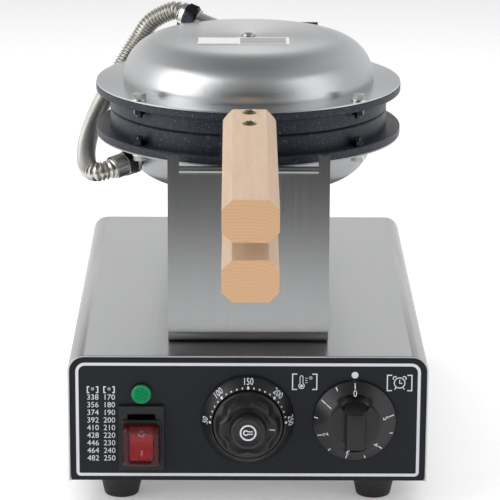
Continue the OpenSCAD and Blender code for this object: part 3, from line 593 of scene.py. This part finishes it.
FINGER_HOLLOWS = 6
KNOB_SMOOTH = 9                                  # the levels from this one on are round enough for print
KNOB_LEVELS = [  # radius, distance from the panel and depth of the finger hollows, in mm
    (24.2, 1.0, 0), (24.2, 11.6, 0), (23.9, 12.6, 0), (23.2, 13.2, 0), (22.6, 13.5, 0.3), (22.3, 14.4, 0.9),
    (21.7, 17.0, 1.9), (20.9, 20.0, 2.7), (20.0, 21.6, 2.9), (18.6, 22.3, 2.3), (16.4, 22.0, 1.0),
    (14.2, 21.3, 0.2), (13.1, 21.4, 0), (12.5, 22.4, 0), (12.1, 26.0, 0), (11.7, 27.8, 0), (10.9, 28.6, 0),
    (9.8, 28.9, 0), (8.8, 28.6, 0), (7.4, 28.3, 0), (3.0, 28.2, 0)]


def thermostat_knob(bm):
    rings = []
    for r, h, hollow in KNOB_LEVELS:
        def reach(a):
            return 1 - hollow / r * (0.5 + 0.5 * math.cos(FINGER_HOLLOWS * a)) ** 2
        rings.append(front_ring(DIAL, r * MM, h * MM, 144, reach))
    loft(bm, rings)


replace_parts(mesh_piece("thermostat_knob_body", thermostat_knob, "knob_black", "thermostat_dial"),
            "thermostat_knob")


def knob_height(x, z):
    """How far the thermostat knob stands proud of the panel at a point of its smooth parts."""
    smooth_levels = [(r, h) for r, h, _ in KNOB_LEVELS[KNOB_SMOOTH:]]
    return level_at(smooth_levels, math.hypot(x - DIAL.x, z - DIAL.z) / MM) * MM


def knob_print(bm):
    """A plain thermometer in a circle, lying on its side, and the pointer line."""
    on_knob = on_front(knob_height)
    x, z = DIAL.x, DIAL.z
    ribbon(bm, circle(x, z, 5.2 * MM, 40), 1.1 * MM, INK, on_knob, closed=True)
    ribbon(bm, arc(x - 1.5 * MM, z, 1.6 * MM, 125, 415, 16), 0.9 * MM, INK, on_knob)
    for side in (-1, 1):
        wall_z = z + side * 0.9 * MM
        ribbon(bm, [(x - 0.3 * MM, wall_z), (x + 3.3 * MM, wall_z)], THICK, INK, on_knob)
    ribbon(bm, [(x + 14.5 * MM, z), (x + 18.5 * MM, z)], 0.6 * MM, INK * 2, on_knob)


mesh_piece("thermostat_knob_print", knob_print, "print_white", "thermostat_dial", smooth=False)

# ================================ Timer ================================

TIMER_LEVELS = [(29.0, 1.0), (29.0, 1.8), (28.7, 2.6), (18.6, 10.0), (17.6, 10.5), (16.5, 10.7), (3.0, 10.9)]
SCOOP_R = 16.6                                   # middle of the finger scoops, from the timer's axis
SCOOP_HALF = 4.6                                 # half their width along the radius
SCOOP_DEPTH = 4.6
SCOOP_SPREAD = 0.6                               # sine of the angle to either side at which they end
SKIRT_RADII = [28.99, 28.7, 26.0, 23.5] + [22 - 0.6 * i for i in range(21)] + [6.0, 3.1]


def scooped_height(r, a):
    """Height in mm of the skirt at radius r and angle a from the top."""
    across = max(0.0, 1 - ((r - SCOOP_R) / SCOOP_HALF) ** 2)
    around = max(0.0, 1 - (math.sin(a) / SCOOP_SPREAD) ** 2)
    return level_at(TIMER_LEVELS, r) - SCOOP_DEPTH * across * around


def timer_skirt(bm):
    """The skirt, with a finger scoop at either end of the grip."""
    rings = [front_ring(TIMER, TIMER_LEVELS[0][0] * MM, TIMER_LEVELS[0][1] * MM)]
    for r in SKIRT_RADII:
        ring = front_ring(TIMER, r * MM, 0)
        for i, point in enumerate(ring):
            point.y -= scooped_height(r, 2 * math.pi * i / len(ring)) * MM
        rings.append(ring)
    loft(bm, rings)


def timer_height(x, z):
    return level_at(TIMER_LEVELS, math.hypot(x - TIMER.x, z - TIMER.z) / MM) * MM


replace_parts(mesh_piece("timer_skirt", timer_skirt, "timer_black", "timer_dial"), "timer_knob")


GRIP_LEVELS = [  # half width, half length, corner radius and distance from the panel, in mm
    (7.4, 15.2, 2.4, 5.4), (7.2, 15.0, 2.4, 14), (6.8, 14.4, 2.4, 22), (6.5, 13.9, 2.4, 24.4),
    (6.0, 13.3, 2.2, 25.6), (5.2, 12.4, 1.8, 26.0)]


def timer_grip(bm):
    loft(bm, [rounded_ring(TIMER.x, TIMER.z, *level, 8) for level in GRIP_LEVELS])


mesh_piece("timer_grip", timer_grip, "knob_black", "timer_dial")
TIMER_MINUTES = 5
TIMER_STEP = 28                                  # degrees for half a minute
TIMER_NUMBER_R = 21.6 * MM
MINUTE_MARK = (24.3 * MM, 27.8 * MM)             # radii of its ends
HALF_MARK = (25.6 * MM, 28.2 * MM)


def timer_print(bm):
    """A mark every half minute and a number every minute."""
    on_skirt = on_front(timer_height)
    for i in range(2 * TIMER_MINUTES + 1):
        angle = -TIMER_STEP * i
        s, c = math.sin(math.radians(angle)), math.cos(math.radians(angle))
        inner, outer = HALF_MARK if i % 2 else MINUTE_MARK
        ribbon(bm, [(TIMER.x + r * s, TIMER.z + r * c) for r in (inner, (inner + outer) / 2, outer)],
               THICK, INK * 2, on_skirt)
        if i % 2 == 0:
            digits(bm, str(i // 2), FIGURE, TIMER.x + TIMER_NUMBER_R * s, TIMER.z + TIMER_NUMBER_R * c,
                   angle, INK * 2, on_skirt)


mesh_piece("timer_print", timer_print, "print_white", "timer_dial", smooth=False)

# ================================ Switch and lamp ================================

BOOT_Z = middle("switch_boot").z
BOOT_FLANGE = [(14.1, 17.2, 2.6, 3.1), (14.1, 17.2, 2.6, 4.2), (13.7, 16.8, 2.6, 4.7), (12.6, 13.8, 3.0, 4.9)]
BOOT_WALL = [(13.3, 14.4, 3.0, 4.7), (13.3, 14.4, 3.0, 9.0), (12.9, 13.9, 3.4, 12.0), (11.9, 12.9, 3.4, 13.6),
             (10.4, 11.8, 3.0, 14.1), (8.9, 10.9, 2.4, 13.9), (8.3, 10.4, 2.0, 13.2), (8.1, 10.2, 2.0, 10.0)]
BOOT_WINDOW = [(8.6, 10.6, 2.2, 12.3), (8.6, 10.6, 2.2, 12.7)]


def boot_part(levels, closed=False):
    """One part of the rubber boot, from (half width, half height, corner, proud) levels in mm."""
    return lambda bm: loft(bm, [rounded_ring(SWITCH.x, BOOT_Z, *level, 6) for level in levels],
                           cap_first=closed, cap_last=closed)


mesh_piece("switch_boot_flange", boot_part(BOOT_FLANGE), "switch_black", "base")
mesh_piece("switch_boot_window", boot_part(BOOT_WINDOW, True), "boot_window", "base")
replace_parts(mesh_piece("switch_boot_skin", boot_part(BOOT_WALL), "clear_boot", "base"), "switch_boot")


ROCKER_TILT = math.radians(-8)
PIVOT_IN = 3                                     # mm from the panel's face in to the rocker's pivot
ROCKER_HALF = 12                                 # mm, half its height


def tilted(x, y, z):
    """A point of the rocker, drawn flat in mm round its pivot, tilted to its rest position."""
    a = ROCKER_TILT
    return Vector((ROCKER.x + x * MM, PANEL_Y + (PIVOT_IN + y * math.cos(a) - z * math.sin(a)) * MM,
                   BOOT_Z + (y * math.sin(a) + z * math.cos(a)) * MM))


def rocker_face(z):
    """How far the rocker's hollow front is from its pivot at height z, in mm."""
    return -9.2 - 1.9 * (z / ROCKER_HALF) ** 2


def rocker(bm):
    rings = []
    for x, inset in ((-8.5, 0.5), (-8.0, 0), (8.0, 0), (8.5, 0.5)):
        front = [tilted(x, rocker_face(z) + inset, z * (ROCKER_HALF - inset) / ROCKER_HALF)
                 for z in (ROCKER_HALF * (1 - i / 8) for i in range(17))]
        back = [tilted(x, 5, z) for z in (-11, 11)]
        rings.append(front + back)
    loft(bm, rings)


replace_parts(mesh_piece("rocker_button", rocker, "rocker_red", "rocker"), "power_rocker")


def rocker_print(bm):
    """The marks for off, a ring, and on, a bar."""
    def on_rocker(x, z, up):
        return tilted(x, rocker_face(z) - up + SINK / MM, z)
    thick = 0.15
    ribbon(bm, circle(0, 6.2, 1.9, 28), 0.8, thick, on_rocker, closed=True)
    ribbon(bm, [(0.3, -5.4), (0.3, -7.2), (0.3, -9.0)], 0.9, thick, on_rocker)


mesh_piece("rocker_print", rocker_print, "print_white", "rocker", smooth=False)


LENS_LEVELS = [(6.8, 1.9), (6.8, 3.0), (6.2, 3.6)]  # radius and distance from the panel, in mm
PYRAMID = 1.15                                   # mm, side of a pyramid on the lens
PYRAMIDS_R = 5.6
PYRAMID_BASE, PYRAMID_TIP = 3.5, 4.1             # mm from the panel


def lamp_lens(bm):
    """Round lens with a grid of small pyramids on its face."""
    loft(bm, [front_ring(LAMP, r * MM, h * MM, 48) for r, h in LENS_LEVELS])
    across = range(-5, 6)
    for x, z in ((i * PYRAMID, j * PYRAMID) for i in across for j in across):
        if math.hypot(x, z) > PYRAMIDS_R:
            continue
        base = [bm.verts.new((LAMP.x + (x + sx * PYRAMID / 2) * MM, PANEL_Y - PYRAMID_BASE * MM,
                              LAMP.z + (z + sz * PYRAMID / 2) * MM))
                for sx, sz in ((-1, -1), (1, -1), (1, 1), (-1, 1))]
        tip = bm.verts.new((LAMP.x + x * MM, PANEL_Y - PYRAMID_TIP * MM, LAMP.z + z * MM))
        for k in range(4):
            bm.faces.new((base[k], base[(k + 1) % 4], tip))
        bm.faces.new(list(reversed(base)))


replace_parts(mesh_piece("lamp_lens", lamp_lens, "pilot_green", "base", smooth=False), "pilot_lens")

# ================================ Conduits ================================


def along_curve(points, steps):
    """Points on a smooth curve through the given ones, evenly stepped between each pair."""
    ends = [points[0] * 2 - points[1]] + points + [points[-1] * 2 - points[-2]]
    made = []
    for a, b, c, d in zip(ends, ends[1:], ends[2:], ends[3:]):
        for i in range(steps):
            t = i / steps
            made.append(0.5 * (2 * b + (c - a) * t + (2 * a - 5 * b + 4 * c - d) * t ** 2
                               + (3 * b - a - 3 * c + d) * t ** 3))
    return made + [points[-1]]


def even(points, spacing):
    """The same curve with evenly spaced points."""
    lengths = [0.0]
    for p, q in zip(points, points[1:]):
        lengths.append(lengths[-1] + (q - p).length)
    count = max(2, round(lengths[-1] / spacing))
    made, k = [], 0
    for i in range(count + 1):
        want = lengths[-1] * i / count
        while k < len(points) - 2 and lengths[k + 1] < want:
            k += 1
        share = (want - lengths[k]) / max(lengths[k + 1] - lengths[k], 1e-9)
        made.append(points[k].lerp(points[k + 1], min(share, 1.0)))
    return made


def hose(bm, path, radius, pitch, depth, count=28):
    """A corrugated tube: rounded rings of the given pitch along a path."""
    per_ring = 6
    points = even(path, pitch / per_ring)
    side = Vector((0, 0, 1))
    rings = []
    for i, p in enumerate(points):
        ahead = (points[min(i + 1, len(points) - 1)] - points[max(i - 1, 0)]).normalized()
        side = (side - ahead * side.dot(ahead)).normalized()
        other = ahead.cross(side)
        groove = (0.5 - 0.5 * math.cos(2 * math.pi * i / per_ring)) ** 1.6
        r = radius - depth * groove
        rings.append([p + (side * math.cos(a) + other * math.sin(a)) * r
                      for a in (2 * math.pi * k / count for k in range(count))])
    loft(bm, rings)


LOW_STUB = [LOWER_EXIT + LOWER_DIR * out * MM for out in (19.5, 26.5)]
HIGH_STUB = [UPPER_EXIT + UPPER_DIR * 30 * MM - Vector((0, 0, 1.2)) * MM, UPPER_EXIT + UPPER_DIR * 21.5 * MM]
HOSE_PATH = LOW_STUB + [HEAD + Vector(p) * MM for p in (
    (-107.5, -54.5, -37), (-112.4, -46.5, -37.5), (-115.5, -32, -37.3), (-117.5, -12, -36), (-118, 10, -33),
    (-116.5, 32, -27.5), (-112.5, 52, -18.5), (-106, 68, -7), (-98, 79, 6), (-90, 85, 19), (-82, 87, 31),
    (-72, 84.5, 45))] + HIGH_STUB


def jumper_hose(bm):
    hose(bm, along_curve(HOSE_PATH, 24), radius=6.9 * MM, pitch=2.6 * MM, depth=1.4 * MM)


# The hose is one fixed shape from its lower stub past the side of the head to its upper stub, and belongs to
# no body
jumper = mesh_piece("jumper_hose", jumper_hose, "conduit_steel", None)
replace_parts(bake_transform(jumper), "jumper_conduit")

FEED_LOW, FEED_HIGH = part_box("feed_conduit")
FEED_X = middle("feed_conduit").x
FEED_Y = FEED_LOW.y + 6 * MM                     # of its two ends; the middle bows out to the back
FEED_PATH = [Vector((FEED_X, FEED_Y + bow * MM, FEED_LOW.z + (FEED_HIGH.z - FEED_LOW.z) * t))
             for t, bow in ((0, 0), (0.25, 1), (0.5, 2), (0.75, 1), (1, 0))]


def feed_hose(bm):
    hose(bm, along_curve(FEED_PATH, 12), radius=5.9 * MM, pitch=2.1 * MM, depth=0.8 * MM)


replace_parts(mesh_piece("feed_hose", feed_hose, "conduit_steel", "base"), "feed_conduit")

# ================================ Label on the dome ================================


LABEL_LOW = Vector((-0.036, HEAD.y - 0.033, DOME_TOP))
LABEL_HIGH = Vector((0.029, HEAD.y - 0.008, DOME_TOP + 0.3 * MM))
LABEL_SPLIT = LABEL_LOW.x + (LABEL_HIGH.x - LABEL_LOW.x) * 0.46
FIELD_T = 0.12 * MM                              # of what is printed on the label


def slab(bm, low, high):
    """A block between two opposite corners."""
    size, centre = high - low, (high + low) / 2
    for v in bmesh.ops.create_cube(bm, size=1.0)["verts"]:
        v.co = Vector((v.co.x * size.x, v.co.y * size.y, v.co.z * size.z)) + centre


def label_plate(bm):
    slab(bm, LABEL_LOW, LABEL_HIGH)


def label_fields(bm):
    """A blank printed field on the right, and a thin line above and below the free field on the left."""
    def field(x0, y0, x1, y1):
        slab(bm, Vector((x0, y0, LABEL_HIGH.z)), Vector((x1, y1, LABEL_HIGH.z + FIELD_T)))
    field(LABEL_SPLIT, LABEL_LOW.y + 2.2 * MM, LABEL_HIGH.x - 2.5 * MM, LABEL_HIGH.y - 2.2 * MM)
    for y in (LABEL_LOW.y + 1 * MM, LABEL_HIGH.y - 1 * MM):
        field(LABEL_LOW.x + 1 * MM, y - 0.2 * MM, LABEL_SPLIT - 2 * MM, y + 0.2 * MM)


mesh_piece("dome_label", label_plate, "label_silver", "lid", smooth=False)
mesh_piece("dome_label_fields", label_fields, "label_grey", "lid", smooth=False)

# ================================ Painted shade in the screws' cross recesses =================


HANDLE_DROOP = math.radians(4)                   # as in the CAD
HANDLE_UP = Vector((0, -math.sin(HANDLE_DROOP), math.cos(HANDLE_DROOP)))
CROSS_ARM = 2.4 * MM
CROSS_HALF_WIDTH = 0.45 * MM
CROSS_HALF_HEIGHT = 0.3 * MM


def screw_tops(name, up):
    """The middle of the crown of each of a handle's two screws, which stand one behind the other."""
    points = [nodes[name].matrix_world @ v.co for v in nodes[name].data.vertices]
    between = middle(name).y
    tops = []
    for group in ([p for p in points if p.y < between], [p for p in points if p.y >= between]):
        top = max(p.dot(up) for p in group)
        crown = [p for p in group if p.dot(up) > top - 0.4 * MM]
        tops.append(sum(crown, Vector()) / len(crown))
    return tops


def cross(bm, centre, up):
    """A plus sign of painted shade for a cross recess, level with a screw's crown and turned a little, as a
    screw happens to stand.
    """
    ahead = Vector((0.35, 1, 0)).cross(up).normalized()
    beside = up.cross(ahead)
    for along, across in ((ahead, beside), (beside, ahead)):
        loft(bm, [[centre + along * x + across * y * CROSS_HALF_WIDTH + up * z * CROSS_HALF_HEIGHT
                   for y, z in ((-1, -1), (1, -1), (1, 1), (-1, 1))] for x in (-CROSS_ARM, CROSS_ARM)])


def recesses(side, up):
    """Painted shade for the cross recesses of one handle's screws."""
    def build(bm):
        for top in screw_tops(side + "_handle_screws", up):
            cross(bm, top, up)
    return build


# Each recess is painted shade: a dark plus sign on the screw's crown, not a cut.
for side, body, up in (("upper", "lid", HANDLE_UP), ("lower", "rotor", -HANDLE_UP)):
    mesh_piece(side + "_screw_recess_shade", recesses(side, up), "recess_dark", body,
               smooth=False)

# ================================ Edges of the CAD nodes ================================

for name in ("housing_shell", "stand_bracket", "front_panel", "back_panel", "rear_cap"):
    bevelled(nodes[name], 0.4 * MM)
for name in ("switch_bezel", "feet", "power_inlet"):
    bevelled(nodes[name], 0.8 * MM, 3)
for name in ("upper_handle", "lower_handle"):
    bevelled(nodes[name], 2.6 * MM, 4)
for name in ("stand_bolts", "upper_flange_bolts", "lower_flange_bolts", "axle_nut", "feed_fittings",
             "upper_fitting", "lower_fitting", "upper_dome_screw", "lower_dome_screw"):
    bevelled(nodes[name], 0.3 * MM)

# ================================ Studio ================================


def plane(name, centre, size_x, size_y, look):
    """A level rectangle that belongs to the studio."""
    data = bpy.data.meshes.new(name)
    half_x, half_y = size_x / 2, size_y / 2
    corners = [(-half_x, -half_y, 0), (half_x, -half_y, 0), (half_x, half_y, 0), (-half_x, half_y, 0)]
    data.from_pydata(corners, [], [(0, 1, 2, 3)])
    thing = bpy.data.objects.new(name, data)
    thing.location = centre
    bpy.context.scene.collection.objects.link(thing)
    data.materials.append(look)
    return thing


AIM = Vector((0, -0.03, 0.2))                    # what the lights point at


def area_light(name, place, size_x, size_y, power, in_metal=True):
    """A soft light; metal mirrors it only where in_metal is true."""
    data = bpy.data.lights.new(name, "AREA")
    data.shape = "RECTANGLE"
    data.size = size_x
    data.size_y = size_y
    data.energy = power
    thing = bpy.data.objects.new(name, data)
    thing.location = place
    thing.rotation_mode = "QUATERNION"
    thing.rotation_quaternion = (AIM - Vector(place)).to_track_quat("-Z", "Y")
    thing.visible_glossy = in_metal
    bpy.context.scene.collection.objects.link(thing)


floor_look, _, floor_shader = shader("floor_white", (0.95, 0.95, 0.95), 0.9)
floor_shader.inputs["Emission Color"].default_value = (1, 1, 1, 1)
floor_shader.inputs["Emission Strength"].default_value = 0.16
plane("floor", (0, 0, 0), 8, 8, floor_look)

# A dark card on the floor in front, seen only in the metal, as a studio flag is
card = plane("dark_card", (0, -1.8, 0.002), 2.4, 2.0, shader("card_black", (0.015, 0.015, 0.015), 0.9)[0])
card.visible_camera = False
card.visible_diffuse = False
card.visible_shadow = False

area_light("overhead", (0, 0.4, 1.6), 2.6, 2.2, 23, in_metal=False)
area_light("left_side", (-1.4, -0.65, 0.9), 1.3, 1.6, 15)
area_light("right_side", (1.4, -0.75, 0.75), 1.0, 1.5, 4.5)
area_light("front_fill", (0.15, -2.6, 1.1), 1.6, 1.2, 11, in_metal=False)


def calculated(tree, operation, *values):
    """The result of a Math node on one or two sockets."""
    node = tree.nodes.new("ShaderNodeMath")
    node.operation = operation
    for value, socket in zip(values, node.inputs):
        tree.links.new(value, socket)
    return node.outputs["Value"]


def studio_world():
    """Pale walls all round, dark behind the camera and bright at the back, under a darker ceiling."""
    made = bpy.data.worlds.new("studio")
    made.use_nodes = True
    tree = made.node_tree
    source = tree.nodes.new("ShaderNodeTexCoord")
    parts = tree.nodes.new("ShaderNodeSeparateXYZ")
    tree.links.new(source.outputs["Generated"], parts.inputs["Vector"])
    front = remap(tree, parts.outputs["Y"], -0.96, -0.6, 0.04, 0.55)
    back = remap(tree, parts.outputs["Y"], 0.1, 0.8, 0.0, 0.35)
    walls = calculated(tree, "ADD", front, back)
    # The ceiling is darkest over the middle, and hardly darker than the walls towards the two sides
    over_middle = remap(tree, calculated(tree, "ABSOLUTE", parts.outputs["X"]), 0.2, 0.6, 1.0, 0.15)
    darker = calculated(tree, "MULTIPLY", remap(tree, parts.outputs["Z"], 0.35, 0.8, 0.0, 0.62), over_middle)
    total = calculated(tree, "MULTIPLY", walls, remap(tree, darker, 0.0, 1.0, 1.0, 0.0))
    background = tree.nodes["Background"]
    background.inputs["Color"].default_value = (1, 1, 1, 1)
    tree.links.new(total, background.inputs["Strength"])
    return made


bpy.context.scene.world = studio_world()
bpy.context.scene.view_settings.view_transform = "Standard"

# Camera: a long lens, well in front of the machine and a little above it; angles in radians
LENS = 195.574                                   # mm, for the 36 mm sensor
CAMERA_AT = (-0.0102, -1.9701, 0.6928)
PITCH_DOWN = 0.2755
YAW = 0.0062
ROLL = -0.0047
camera_data = bpy.data.cameras.new("camera")
camera_data.sensor_width = 36
camera_data.lens = LENS
camera_data.clip_start = 0.1
camera = bpy.data.objects.new("camera", camera_data)
camera.location = CAMERA_AT
camera.rotation_euler = (Matrix.Rotation(-YAW, 3, "Z") @ Matrix.Rotation(math.pi / 2 - PITCH_DOWN, 3, "X")
                         @ Matrix.Rotation(-ROLL, 3, "Z")).to_euler()
bpy.context.scene.collection.objects.link(camera)
bpy.context.scene.camera = camera
